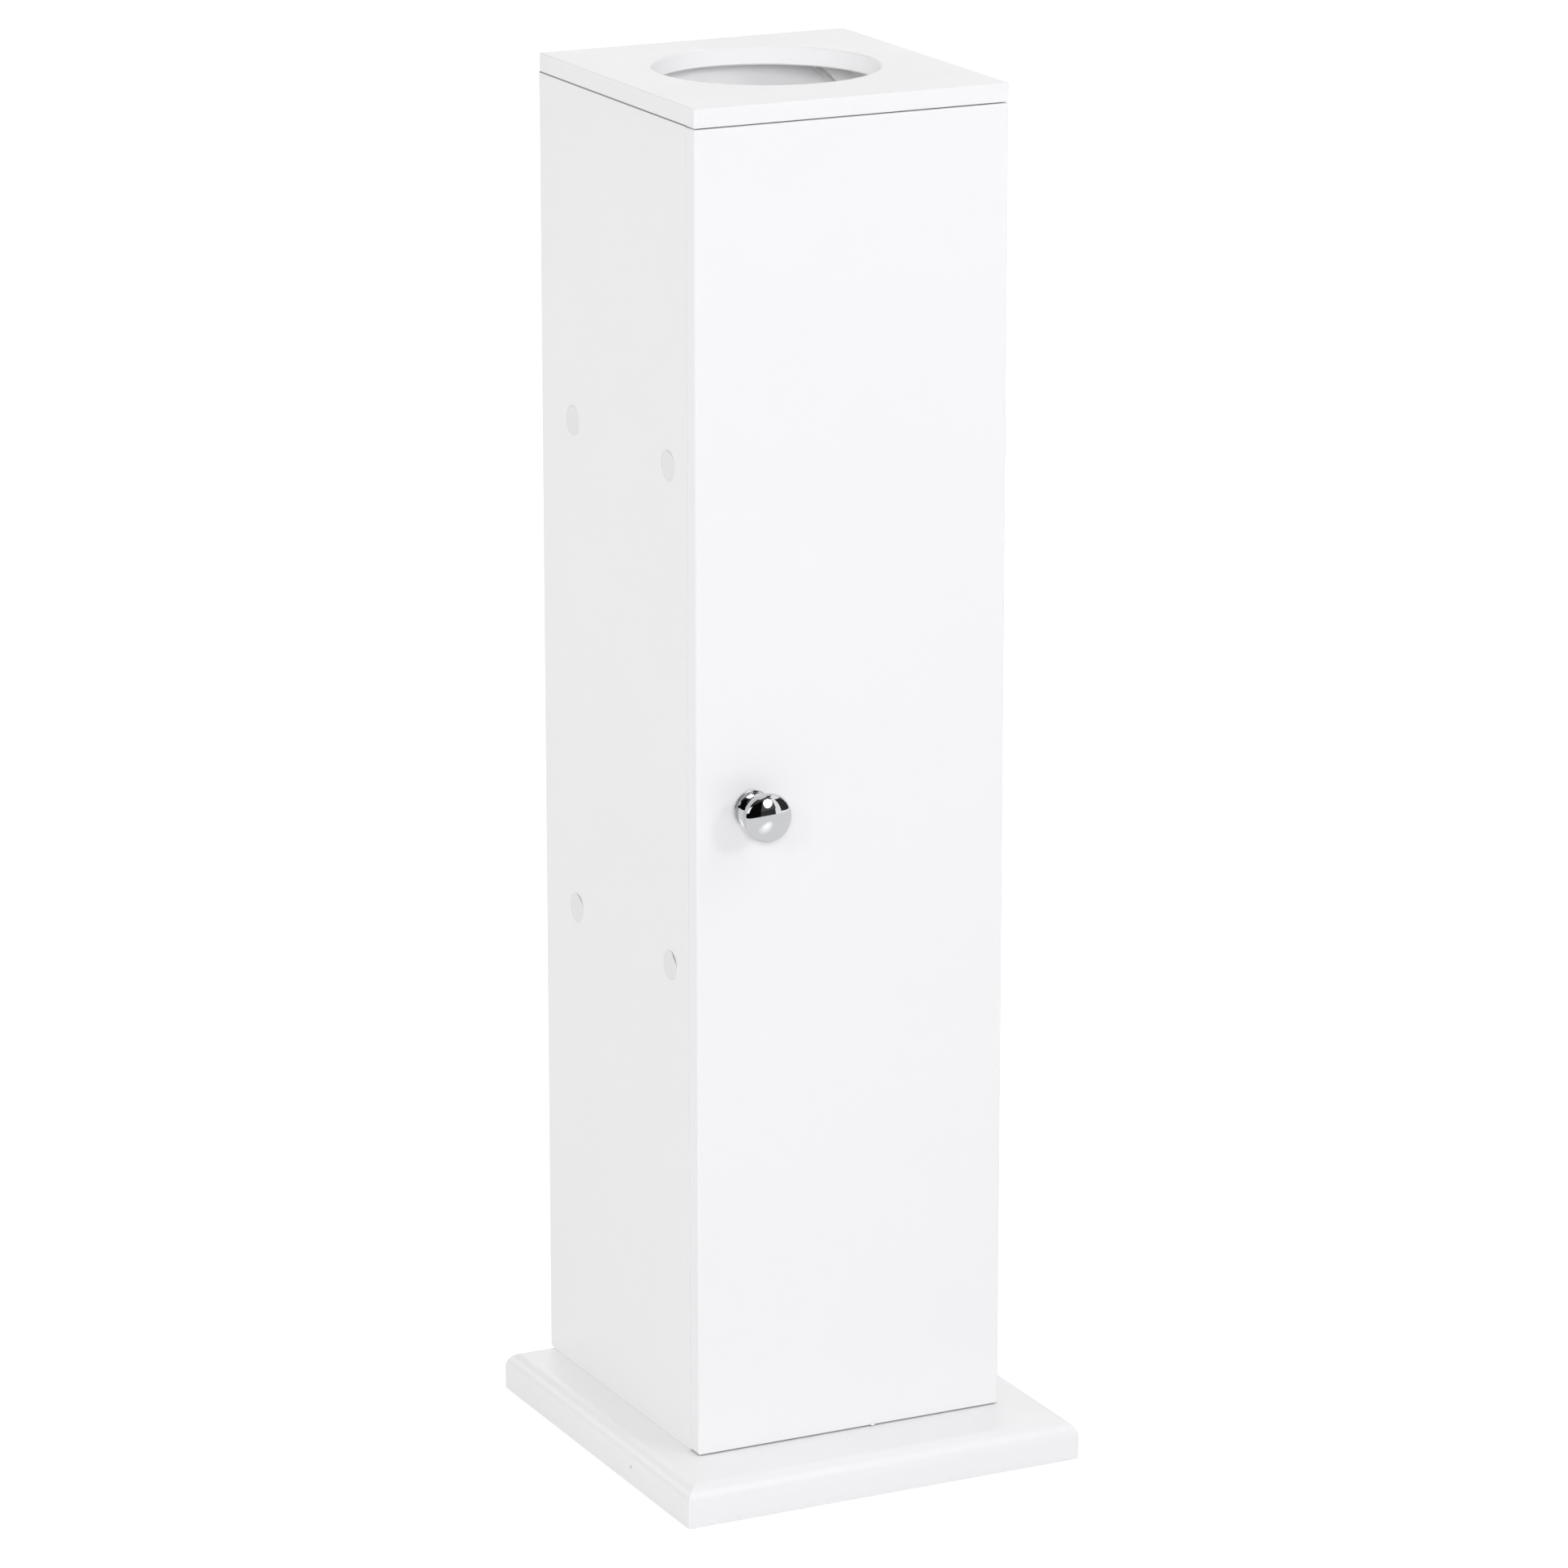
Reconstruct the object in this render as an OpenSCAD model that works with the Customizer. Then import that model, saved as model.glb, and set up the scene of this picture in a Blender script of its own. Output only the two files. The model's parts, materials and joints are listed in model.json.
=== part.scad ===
// Toilet roll storage cabinet: a slim column on a wide foot. Rolls drop in through a round
// hole in the top or go in behind a full-height door, onto the foot and two shelves.
// Millimetres. X runs across the front, -Y faces the user, Z is up. The origin is on the
// floor, under the middle of the foot.

/* [Column] */
// Height from the floor to the top face
total_h = 660; // [600:5:800]
// Width over the two sides
column_w = 159; // [145:1:200]
// Depth from the door's face to the rear edges of the sides
column_d = 168; // [150:1:210]
// Clear height of each of the two lower compartments
compartment_h = 229; // [215:1:235]
// Thickness of the sides
side_t = 9; // [9:0.5:12]
// Thickness of the top
top_t = 9; // [9:0.5:12]
// Thickness of the shelves
shelf_t = 9; // [9:0.5:12]
// Distance from the front of a side back to the front of a shelf
shelf_setback = 2.5; // [2:0.5:10]
// Rounding of the outer edges of the top and the door
edge_r = 1; // [0.6:0.1:1.5]
// Rounding of the edges of the top and the door against the cabinet, and of the door's lower edge
inner_edge_r = 0.4; // [0.3:0.1:0.6]
// Rounding of the upright edges of the sides and the front edges of the shelves
side_edge_r = 0.3; // [0.3:0.1:1]
// Rounding of the upper edges of the sides, where they meet the top
side_top_r = 0.5; // [0.3:0.1:1]

/* [Roll hole] */
// Diameter of the hole in the top
hole_d = 106; // [80:1:112]
// How far the middle of the hole lies behind the middle of the column
hole_offset = 5.5; // [0:0.5:8]
// Small bevel round both rims of the hole
hole_bevel = 0.7; // [0.3:0.1:1]

/* [Back] */
// Thickness of the back panel
back_t = 3; // [2.5:0.5:5]
// Depth of the groove in each side that holds the back panel
groove_depth = 4; // [3:0.5:5]
// Distance from the groove to the rear edge of a side
groove_inset = 5; // [4:0.5:10]

/* [Foot] */
// Thickness of the foot board
foot_t = 19; // [16:0.5:25]
// How far the foot stands out beyond each side
foot_side_lip = 23.5; // [18:0.5:40]
// How far the foot stands out in front of the door
foot_front_lip = 38; // [30:0.5:60]
// How far the foot stands out behind the sides
foot_back_lip = 2.5; // [0:0.5:20]
// Radius of the round-over along the foot's top edges
foot_edge_r = 8; // [4:0.5:12]
// Diameter of a foam pad under the foot
pad_d = 18; // [12:1:24]
// Thickness of a foam pad
pad_t = 1; // [0.5:0.25:3]
// Distance from the foot's edges to the middle of a pad
pad_inset = 17; // [14:1:30]

/* [Door] */
// Thickness of the door
door_t = 9; // [9:0.5:12]
// Gap between the closed door and the fronts of the sides
door_gap = 0.3; // [0.3:0.1:0.8]
// Gap between the closed door and the top
door_top_gap = 0.5; // [0.4:0.1:4]
// Gap between the closed door and the foot
door_foot_gap = 0.5; // [0.4:0.1:4]

/* [Knob] */
// Distance from the door's free edge to the middle of the knob
knob_inset = 28; // [20:0.5:40]
// How far the knob sits below the middle of the door
knob_drop = 2.8; // [0:0.1:60]
// Largest diameter of the knob's head
knob_head_d = 23.2; // [20:0.2:28]
// Distance from the door's face to the widest part of the head
knob_widest = 17.3; // [17:0.1:22]
// Height of the shallow dome on the front of the head
knob_dome = 5; // [3:0.1:8]
// Depth over which the rounded back of the head narrows to the neck
knob_taper = 11.4; // [8:0.1:11.6]
// Diameter of the foot of the knob, against the door
knob_rose_d = 18.6; // [14:0.2:22]
// Diameter of the knob's neck
knob_neck_d = 8.6; // [7:0.2:10]

/* [Hinges] */
// Length of a hinge
hinge_len = 38; // [30:1:50]
// Distance from the end of the door to the middle of a hinge
hinge_end = 70; // [50:1:120]
// Thickness of a hinge leaf
leaf_t = 1; // [0.8:0.1:1.4]
// Width of a leaf let into the wood
leaf_w = 8.2; // [7.5:0.1:8.4]
// Distance from the side's outer face to the hinge axis
hinge_offset = 1.3; // [1.2:0.1:2]
// Radius of a knuckle
knuckle_r = 2.1; // [1.9:0.1:2.3]
// Radius of the hinge pin
pin_r = 1.1; // [0.9:0.05:1.2]

/* [Catch] */
// Width of the catch over its two ears
catch_w = 44; // [40:1:50]
// Width of the catch's body
catch_body_w = 26; // [24:1:28]
// Height of the catch's body
catch_body_h = 12; // [11:0.5:14]
// Depth of the catch's body
catch_body_d = 16; // [15:0.5:20]
// Thickness of the strike plate on the door
strike_t = 1; // [0.8:0.1:1.5]

/* [Fixings] */
// Distance from the door's face to the front screw of each shelf
shelf_screw_front = 29; // [24:0.5:40]
// Distance from the rear edge of a side to the rear screw of each shelf
shelf_screw_back = 35; // [28:0.5:45]
// Diameter of a cap over a shelf screw
cap_d = 15; // [12:0.5:18]
// Thickness of a cap over a shelf screw
cap_t = 0.8; // [0.5:0.1:1.5]
// Size of a corner block under the top, along each leg
block_size = 16; // [15:0.5:18]

/* [Hidden] */
$fn = 96;

// Clearances
fit_gap = 0.1;       // round a screw in its hole and a board in its groove
running_gap = 0.05;  // round the hinge pin
moving_gap = 0.3;    // between pieces that pass each other
cut = 1;             // how far a cutter runs past a face

// Screws: [shank diameter, head diameter, length]
shelf_screw = [3.5, 7, 30];
foot_screw = [3.5, 7, 45];
hinge_screw = [2.4, 4.4, 7.5];
strike_screw_size = [3, 5.6, 8];
panel_screw = [3, 5.6, 10];
panel_screw_head = 1.8;
knob_screw_size = [4, 8, 18];
knob_screw_head = 2.4;

// Heights
foot_top = pad_t + foot_t;
top_under = total_h - top_t;
door_low = foot_top + door_foot_gap;
door_high = top_under - door_top_gap;
lower_shelf_z = foot_top + compartment_h;
upper_shelf_z = lower_shelf_z + shelf_t + compartment_h;

// Widths and depths
foot_w = column_w + 2 * foot_side_lip;
foot_d = foot_front_lip + column_d + foot_back_lip;
inner_w = column_w - 2 * side_t;
front_y = foot_front_lip - foot_d / 2;
rear_y = front_y + column_d;
door_back_y = front_y + door_t;
side_front_y = door_back_y + door_gap;
side_d = rear_y - side_front_y;
back_face_y = rear_y - groove_inset - fit_gap - back_t;
shelf_front_y = side_front_y + shelf_setback;

// Places of the fixings
shelf_screw_ys = [front_y + shelf_screw_front, rear_y - shelf_screw_back];
foot_screw_ys = [side_front_y + 25, rear_y - 30];
block_leg = 3;
block_gusset = 2;
block_screw_at = 9.5;
block_ys = [side_front_y + 4 + block_size / 2, back_face_y - 2 - block_size / 2];

// Hinges
hinge_x = column_w / 2 + hinge_offset;
hinge_y = (door_back_y + side_front_y) / 2;
hinge_zs = [door_low + hinge_end, door_high - hinge_end];
knuckles = 5;
knuckle_pitch = hinge_len / knuckles;
pin_head_r = pin_r + 0.5;
pin_head_h = 0.8;
hinge_screw_xs = -hinge_offset - side_t / 2;
hinge_screw_zs = [-0.29 * hinge_len, 0.29 * hinge_len];

// Knob
knob_x = -column_w / 2 + knob_inset;
knob_z = (door_low + door_high) / 2 - knob_drop;
knob_rim = 1.3;
knob_flare_h = 6.2;

// Catch, under the upper shelf near the door's free edge
magnet_size = [20, 10, 5];
pole_t = 1;
pole_proud = 0.8;
ear_t = 3;
catch_slot = 4;
catch_x = -inner_w / 2 + catch_w / 2 + 2;
catch_z = upper_shelf_z - catch_body_h / 2;
pole_front_y = door_back_y + strike_t + moving_gap;
catch_front_y = pole_front_y + pole_proud;
catch_ear_x = (catch_w + catch_body_w) / 4;
catch_ear_y = catch_front_y + catch_body_d / 2;
strike_w = 30;
strike_h = 12;

// ---- Outlines and boards ----

// A w by h rectangle about the origin with corners of radius r.
module rounded_rectangle(w, h, r) {
    square([w, h - 2 * r], center = true);
    square([w - 2 * r, h], center = true);
    for (x = [-1, 1], y = [-1, 1])
        translate([x * (w / 2 - r), y * (h / 2 - r)]) circle(r = r);
}

// The end view of a board w wide and h thick whose two upper edges are rounded over.
module rounded_over(w, h, r) {
    translate([-w / 2, 0]) square([w, h - r]);
    translate([r - w / 2, 0]) square([w - 2 * r, h]);
    for (x = [-1, 1]) translate([x * (w / 2 - r), h - r]) circle(r = r);
}

// A w by h rectangle about the origin. Its upper corners have the radii left_r and right_r, and
// its lower ones low_r.
module eased_section(w, h, left_r, right_r, low_r) {
    translate([low_r - w / 2, -h / 2]) square([w - 2 * low_r, h / 2]);
    translate([left_r - w / 2, 0]) square([w - left_r - right_r, h / 2]);
    for (end = [[-1, left_r], [1, right_r]]) {
        translate([end.x < 0 ? -w / 2 : -cut, low_r - h / 2])
            square([w / 2 + cut, h - low_r - end.y]);
        translate([end.x * (w / 2 - end.y), h / 2 - end.y]) circle(r = end.y);
        translate([end.x * (w / 2 - low_r), low_r - h / 2]) circle(r = low_r);
    }
}

// A board of the given size about the origin, its good face up. The edges round that face and
// the upright ones have the radius r, those round its underside low_r, and the upper edge at
// its -Y end end_r.
module eased_board(size, r, low_r, end_r) {
    intersection() {
        translate([0, 0, -size.z / 2])
            linear_extrude(size.z) rounded_rectangle(size.x, size.y, r);
        translate([0, size.y / 2, 0]) rotate([90, 0, 0])
            linear_extrude(size.y) eased_section(size.x, size.z, r, r, low_r);
        translate([-size.x / 2, 0, 0]) rotate([90, 0, 90])
            linear_extrude(size.x) eased_section(size.y, size.z, end_r, r, low_r);
    }
}

// ---- Screws, drawn upright with the head's seat at z = 0 ----

// The cross-shaped recess in a head whose face is at z.
module cross_recess(head_d, depth, z) {
    arm = 0.6 * head_d;
    slot = 0.14 * head_d;
    for (turn = [0, 90])
        rotate(turn) translate([-arm / 2, -slot / 2, z - depth]) cube([arm, slot, depth + cut]);
}

// Half outline of a flat-headed screw: the head's face is at z = 0 and the shank runs down.
function flat_screw_outline(size, gap) =
    let (r = size.x / 2 + gap, head_r = size.y / 2 + gap, rim = 0.08 * size.y)
    [[0, 0], [head_r, 0], [head_r, -rim], [r, -rim - (head_r - r)],
     [r, -size.z + r - gap], [0.2 * r, -size.z - gap], [0, -size.z - gap]];

// Flat-headed screw.
module flat_screw(size) {
    color("silver") difference() {
        rotate_extrude() polygon(flat_screw_outline(size, 0));
        cross_recess(size.y, 0.16 * size.y, 0);
    }
}

// Countersunk hole that the flat-headed screw lies in.
module flat_screw_hole(size) {
    rotate_extrude() polygon(flat_screw_outline(size, fit_gap));
    cylinder(h = cut, r = size.y / 2 + fit_gap);
}

// Screw with a domed head above z = 0. The dome is an ellipse.
module domed_screw(size, head_h) {
    steps = 8;
    dome = [for (i = [0 : steps])
        [size.y / 2 * cos(90 * i / steps), head_h * sin(90 * i / steps)]];
    tip = [[0, -size.z], [0.1 * size.x, -size.z], [size.x / 2, -size.z + size.x / 2],
           [size.x / 2, 0]];
    color("silver") difference() {
        rotate_extrude() polygon(concat(tip, dome));
        cross_recess(size.y, 0.6 * head_h, head_h);
    }
}

// Blind hole for the shank of a domed screw, open at the top.
module shank_hole(size) {
    translate([0, 0, -size.z - fit_gap])
        cylinder(h = size.z + fit_gap + cut, r = size.x / 2 + fit_gap);
}

// Hole for the shank through a thin piece, open at both ends.
module through_hole(size) {
    translate([0, 0, -size.z]) cylinder(h = 2 * size.z, r = size.x / 2 + fit_gap);
}

// ---- Where the screws go ----

module at_foot_screws() {
    for (hand = [-1, 1], y = foot_screw_ys)
        translate([hand * (column_w - side_t) / 2, y, pad_t]) rotate([180, 0, 0]) children();
}

module at_shelf_screws(hand) {
    for (y = shelf_screw_ys, z = [lower_shelf_z, upper_shelf_z])
        translate([hand * column_w / 2, y, z + shelf_t / 2]) rotate([0, 90 * hand, 0]) children();
}

// The corners under the top, with x running inwards from either side.
module at_corner_blocks() {
    for (hand = [-1, 1], y = block_ys)
        translate([hand * inner_w / 2, y, top_under]) mirror([hand > 0 ? 1 : 0, 0, 0])
            children();
}

module at_block_screws() {
    at_corner_blocks() {
        translate([block_screw_at, 0, -block_leg]) rotate([180, 0, 0]) children();
        translate([block_leg, 0, -block_screw_at]) rotate([0, 90, 0]) children();
    }
}

module at_hinges() {
    for (z = hinge_zs) translate([hinge_x, hinge_y, z]) children();
}

// Hinge screws of one leaf: depth_sign is 1 in the side and -1 in the door.
module at_leaf_screws(depth_sign) {
    for (z = hinge_screw_zs)
        translate([hinge_screw_xs, depth_sign * door_gap / 2, z]) rotate([90 * depth_sign, 0, 0])
            children();
}

// ---- Foot ----

module foot() {
    color("white") difference() {
        translate([0, 0, pad_t]) intersection() {
            translate([0, foot_d / 2, 0]) rotate([90, 0, 0])
                linear_extrude(foot_d) rounded_over(foot_w, foot_t, foot_edge_r);
            translate([-foot_w / 2, 0, 0]) rotate([90, 0, 90])
                linear_extrude(foot_w) rounded_over(foot_d, foot_t, foot_edge_r);
        }
        at_foot_screws() flat_screw_hole(foot_screw);
    }
}

module foot_pads() {
    color("dimgray")
        for (x = [-1, 1], y = [-1, 1])
            translate([x * (foot_w / 2 - pad_inset), y * (foot_d / 2 - pad_inset), 0])
                cylinder(h = pad_t, d = pad_d);
}

module foot_screws() {
    at_foot_screws() flat_screw(foot_screw);
}

// ---- Carcass ----

// Shallow bed for one leaf and a round relief for the knuckles, about the hinge axis.
module leaf_bed(depth_sign) {
    bed = [leaf_w + hinge_offset + fit_gap, leaf_t + door_gap / 2, hinge_len + 2 * fit_gap];
    relief_h = hinge_len + 2 * (pin_head_h + moving_gap);
    translate([-bed.x, depth_sign > 0 ? 0 : -bed.y, -bed.z / 2]) cube(bed);
    translate([0, 0, -relief_h / 2]) cylinder(h = relief_h, r = knuckle_r + moving_gap);
    at_leaf_screws(depth_sign) flat_screw_hole(hinge_screw);
}

// One side: hand is -1 for the left and 1 for the right, which also carries the hinges.
module side(hand) {
    groove_w = back_t + 2 * fit_gap;
    h = top_under - foot_top;
    color("white") difference() {
        translate([hand * (column_w - side_t) / 2, side_front_y + side_d / 2, foot_top])
            intersection() {
                linear_extrude(h) rounded_rectangle(side_t, side_d, side_edge_r);
                translate([0, side_d / 2, 0]) rotate([90, 0, 0])
                    linear_extrude(side_d) rounded_over(side_t, h, side_top_r);
            }
        translate([hand * inner_w / 2 - groove_depth, back_face_y - fit_gap, foot_top - cut])
            cube([2 * groove_depth, groove_w, top_under - foot_top + 2 * cut]);
        at_shelf_screws(hand) flat_screw_hole(shelf_screw);
        at_foot_screws() flat_screw_hole(foot_screw);
        at_block_screws() shank_hole(panel_screw);
        if (hand > 0) at_hinges() leaf_bed(1);
    }
}

module left_side() { side(-1); }
module right_side() { side(1); }

module back_panel() {
    w = inner_w + 2 * (groove_depth - moving_gap);
    color("white") translate([-w / 2, back_face_y, foot_top])
        cube([w, back_t, top_under - foot_top]);
}

// Cutter for a hole with a small bevel at both rims, through a board from z = 0 to h.
module bevelled_hole(d, h, bevel) {
    translate([0, 0, -cut]) cylinder(h = h + 2 * cut, d = d);
    for (end = [0, 1]) translate([0, 0, end * h]) mirror([0, 0, end])
        translate([0, 0, -cut]) cylinder(h = cut + bevel, d1 = d + 2 * (bevel + cut), d2 = d);
}

module top_panel() {
    color("white") difference() {
        translate([0, (front_y + rear_y) / 2, top_under + top_t / 2])
            eased_board([column_w, column_d, top_t], edge_r, inner_edge_r, edge_r);
        translate([0, (front_y + rear_y) / 2 + hole_offset, top_under])
            bevelled_hole(hole_d, top_t, hole_bevel);
        at_block_screws() shank_hole(panel_screw);
    }
}

// A shelf between the sides, with its front edges eased. Its underside is at z.
module shelf(z) {
    depth = back_face_y - shelf_front_y;
    color("white") difference() {
        translate([-inner_w / 2, shelf_front_y + depth, z]) rotate([90, 0, 90])
            linear_extrude(inner_w) {
                translate([-depth / 2, 0]) square([depth / 2, shelf_t]);
                translate([-depth / 2, shelf_t / 2])
                    rounded_rectangle(depth, shelf_t, side_edge_r);
            }
        for (hand = [-1, 1]) at_shelf_screws(hand) flat_screw_hole(shelf_screw);
        at_catch_screws() shank_hole(panel_screw);
    }
}

module upper_shelf() { shelf(upper_shelf_z); }
module lower_shelf() { shelf(lower_shelf_z); }

module shelf_screws_left() { at_shelf_screws(-1) flat_screw(shelf_screw); }
module shelf_screws_right() { at_shelf_screws(1) flat_screw(shelf_screw); }

// Flat plastic cap with a bevelled rim.
module screw_cap() {
    bevel = 0.6 * cap_t;
    cylinder(h = cap_t - bevel, d = cap_d);
    translate([0, 0, cap_t - bevel]) cylinder(h = bevel, d1 = cap_d, d2 = cap_d - 2 * bevel);
}

module screw_caps_left() { color("whitesmoke") at_shelf_screws(-1) screw_cap(); }
module screw_caps_right() { color("whitesmoke") at_shelf_screws(1) screw_cap(); }

// ---- Corner blocks that hold the top ----

// An angle with a gusset at each end. The corner is at the origin, x runs inwards.
module corner_block() {
    difference() {
        union() {
            translate([0, -block_size / 2, -block_leg]) cube([block_size, block_size, block_leg]);
            translate([0, -block_size / 2, -block_size]) cube([block_leg, block_size, block_size]);
            for (y = [-block_size / 2, block_size / 2 - block_gusset])
                translate([0, y + block_gusset, 0]) rotate([90, 0, 0])
                    linear_extrude(block_gusset)
                        polygon([[0, 0], [block_size, 0], [block_size, -block_leg],
                                 [block_leg, -block_size], [0, -block_size]]);
        }
        translate([block_screw_at, 0, -block_leg]) rotate([180, 0, 0]) through_hole(panel_screw);
        translate([block_leg, 0, -block_screw_at]) rotate([0, 90, 0]) through_hole(panel_screw);
    }
}

module corner_blocks() { color("whitesmoke") at_corner_blocks() corner_block(); }
module corner_block_screws() { at_block_screws() domed_screw(panel_screw, panel_screw_head); }

// ---- Door ----

module door() {
    h = door_high - door_low;
    color("white") difference() {
        translate([0, front_y + door_t / 2, door_low + h / 2]) rotate([90, 0, 0])
            eased_board([column_w, h, door_t], edge_r, inner_edge_r, inner_edge_r);
        translate([knob_x, door_back_y + cut, knob_z]) rotate([90, 0, 0])
            cylinder(h = door_t + 2 * cut, r = knob_screw_size.x / 2 + fit_gap);
        at_hinges() leaf_bed(-1);
        at_strike_screw() flat_screw_hole(strike_screw_size);
    }
}

// Half outline of the knob: rose, concave flare, neck and mushroom head. The head's back is an
// ellipse that ends at the neck, and its front a shallow half ellipse.
function knob_outline() =
    let (rose_r = knob_rose_d / 2, neck_r = knob_neck_d / 2, head_r = knob_head_d / 2,
         flare_w = rose_r - 0.6 - neck_r, flare_h = knob_flare_h - knob_rim,
         first = asin(neck_r / head_r),
         flare_steps = 10, taper_steps = 18, dome_steps = 22)
    concat(
        [[0, 0], [rose_r - 0.3, 0], [rose_r, 0.3], [rose_r, knob_rim - 0.4], [rose_r - 0.4, knob_rim]],
        [for (i = [0 : flare_steps]) let (a = 90 * i / flare_steps)
            [neck_r + flare_w * (1 - sin(a)), knob_rim + flare_h * (1 - cos(a))]],
        [for (i = [0 : taper_steps - 1]) let (a = first + (90 - first) * i / taper_steps)
            [head_r * sin(a), knob_widest - knob_taper * cos(a)]],
        [for (i = [0 : dome_steps]) let (a = 90 * i / dome_steps)
            [head_r * cos(a), knob_widest + knob_dome * sin(a)]]);

module knob() {
    bore = knob_screw_size.z - door_t + 2;
    color("silver") translate([knob_x, front_y, knob_z]) rotate([90, 0, 0]) difference() {
        rotate_extrude() polygon(knob_outline());
        translate([0, 0, -cut]) cylinder(h = bore + cut, r = knob_screw_size.x / 2 + fit_gap);
    }
}

module knob_screw() {
    translate([knob_x, door_back_y, knob_z]) rotate([-90, 0, 0])
        domed_screw(knob_screw_size, knob_screw_head);
}

// ---- Butt hinges, about their own axis ----

// The low end of every second knuckle, counted from the one called first.
module at_knuckles(first) {
    for (i = [first : 2 : knuckles - 1])
        translate([0, 0, -hinge_len / 2 + i * knuckle_pitch]) children();
}

// One leaf: a flat plate whose end tabs roll round the pin. The roll stops short of the plate,
// which leaves the fine slit that every rolled knuckle has.
module leaf(depth_sign, first) {
    near = door_gap / 2;
    bore_r = pin_r + running_gap;
    plate_end = -knuckle_r - moving_gap;
    plate_w = hinge_offset + leaf_w + plate_end;
    knuckle_h = knuckle_pitch - moving_gap;
    low = moving_gap / 2;
    color("lightsteelblue") mirror([0, depth_sign > 0 ? 0 : 1, 0]) difference() {
        union() {
            translate([plate_end - plate_w / 2, near + leaf_t, 0]) rotate([90, 0, 0])
                linear_extrude(leaf_t) {
                    rounded_rectangle(plate_w, hinge_len, 1.2);
                    translate([0, -hinge_len / 2 + low]) square([plate_w / 2, hinge_len - 2 * low]);
                }
            at_knuckles(first) translate([0, 0, low]) linear_extrude(knuckle_h) difference() {
                union() {
                    circle(r = knuckle_r);
                    translate([plate_end - cut, near]) square([-plate_end + cut, leaf_t]);
                }
                circle(r = bore_r);
                translate([-knuckle_r - cut, 0]) square([knuckle_r + cut, near]);
            }
        }
        for (z = hinge_screw_zs) translate([hinge_screw_xs, near, z]) rotate([90, 0, 0])
            flat_screw_hole(hinge_screw);
    }
}

module frame_leaf() { leaf(1, 0); }
module door_leaf() { leaf(-1, 1); }

module hinge_pin() {
    end = hinge_len / 2;
    half = [[pin_head_r, end], [pin_head_r, end + pin_head_h / 2],
            [pin_r, end + pin_head_h], [0, end + pin_head_h]];
    color("silver") rotate_extrude() polygon(concat(
        [for (p = half) [p.x, p.y]], [for (i = [3 : -1 : 0]) [half[i].x, -half[i].y]],
        [[pin_r, -end], [pin_r, end]]));
}

module at_hinge(i) { translate([hinge_x, hinge_y, hinge_zs[i]]) children(); }

module lower_hinge_frame_leaf() { at_hinge(0) frame_leaf(); }
module lower_hinge_door_leaf() { at_hinge(0) door_leaf(); }
module lower_hinge_pin() { at_hinge(0) hinge_pin(); }
module upper_hinge_frame_leaf() { at_hinge(1) frame_leaf(); }
module upper_hinge_door_leaf() { at_hinge(1) door_leaf(); }
module upper_hinge_pin() { at_hinge(1) hinge_pin(); }
module hinge_frame_screws() { at_hinges() at_leaf_screws(1) flat_screw(hinge_screw); }
module hinge_door_screws() { at_hinges() at_leaf_screws(-1) flat_screw(hinge_screw); }

// ---- Magnetic catch ----

module at_catch_screws() {
    for (x = [-1, 1])
        translate([catch_x + x * catch_ear_x, catch_ear_y, upper_shelf_z - ear_t]) rotate([180, 0, 0])
            children();
}

module at_strike_screw() {
    translate([catch_x, door_back_y + strike_t, catch_z]) rotate([-90, 0, 0]) children();
}

module catch_body() {
    ear_d = 10;
    pocket = [magnet_size.x + 2 * fit_gap, catch_body_d - 3, magnet_size.z + 2 * pole_t + 2 * fit_gap];
    color("white") difference() {
        union() {
            translate([catch_x, catch_front_y + catch_body_d, catch_z]) rotate([90, 0, 0])
                linear_extrude(catch_body_d) rounded_rectangle(catch_body_w, catch_body_h, 1.2);
            translate([catch_x, catch_ear_y, upper_shelf_z - ear_t])
                linear_extrude(ear_t) rounded_rectangle(catch_w, ear_d, 3);
        }
        translate([catch_x - pocket.x / 2, catch_front_y - cut, catch_z - pocket.z / 2])
            cube([pocket.x, pocket.y + cut, pocket.z]);
        at_catch_screws() translate([0, 0, -ear_t - cut]) linear_extrude(ear_t + 2 * cut) {
            slide = catch_slot - panel_screw.x;
            square([panel_screw.x + 2 * fit_gap, slide], center = true);
            for (y = [-1, 1]) translate([0, y * slide / 2]) circle(r = panel_screw.x / 2 + fit_gap);
        }
    }
}

module catch_magnet() {
    color("dimgray")
        translate([catch_x - magnet_size.x / 2, catch_front_y, catch_z - magnet_size.z / 2])
            cube(magnet_size);
}

module catch_pole_plates() {
    depth = catch_body_d - 4 + pole_proud;
    color("silver") for (z = [catch_z + magnet_size.z / 2, catch_z - magnet_size.z / 2 - pole_t])
        translate([catch_x - magnet_size.x / 2, pole_front_y, z]) cube([magnet_size.x, depth, pole_t]);
}

module catch_screws() { at_catch_screws() domed_screw(panel_screw, panel_screw_head); }

module strike_plate() {
    color("silver") difference() {
        translate([catch_x, door_back_y + strike_t, catch_z]) rotate([90, 0, 0])
            linear_extrude(strike_t) rounded_rectangle(strike_w, strike_h, 2);
        at_strike_screw() flat_screw_hole(strike_screw_size);
    }
}

module strike_screw() { at_strike_screw() flat_screw(strike_screw_size); }

// ---- Nodes ----

foot();
foot_pads();
foot_screws();
left_side();
right_side();
back_panel();
top_panel();
corner_blocks();
corner_block_screws();
upper_shelf();
lower_shelf();
shelf_screws_left();
shelf_screws_right();
screw_caps_left();
screw_caps_right();
door();
knob();
knob_screw();
upper_hinge_frame_leaf();
upper_hinge_door_leaf();
upper_hinge_pin();
lower_hinge_frame_leaf();
lower_hinge_door_leaf();
lower_hinge_pin();
hinge_frame_screws();
hinge_door_screws();
catch_body();
catch_magnet();
catch_pole_plates();
catch_screws();
strike_plate();
strike_screw();
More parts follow.
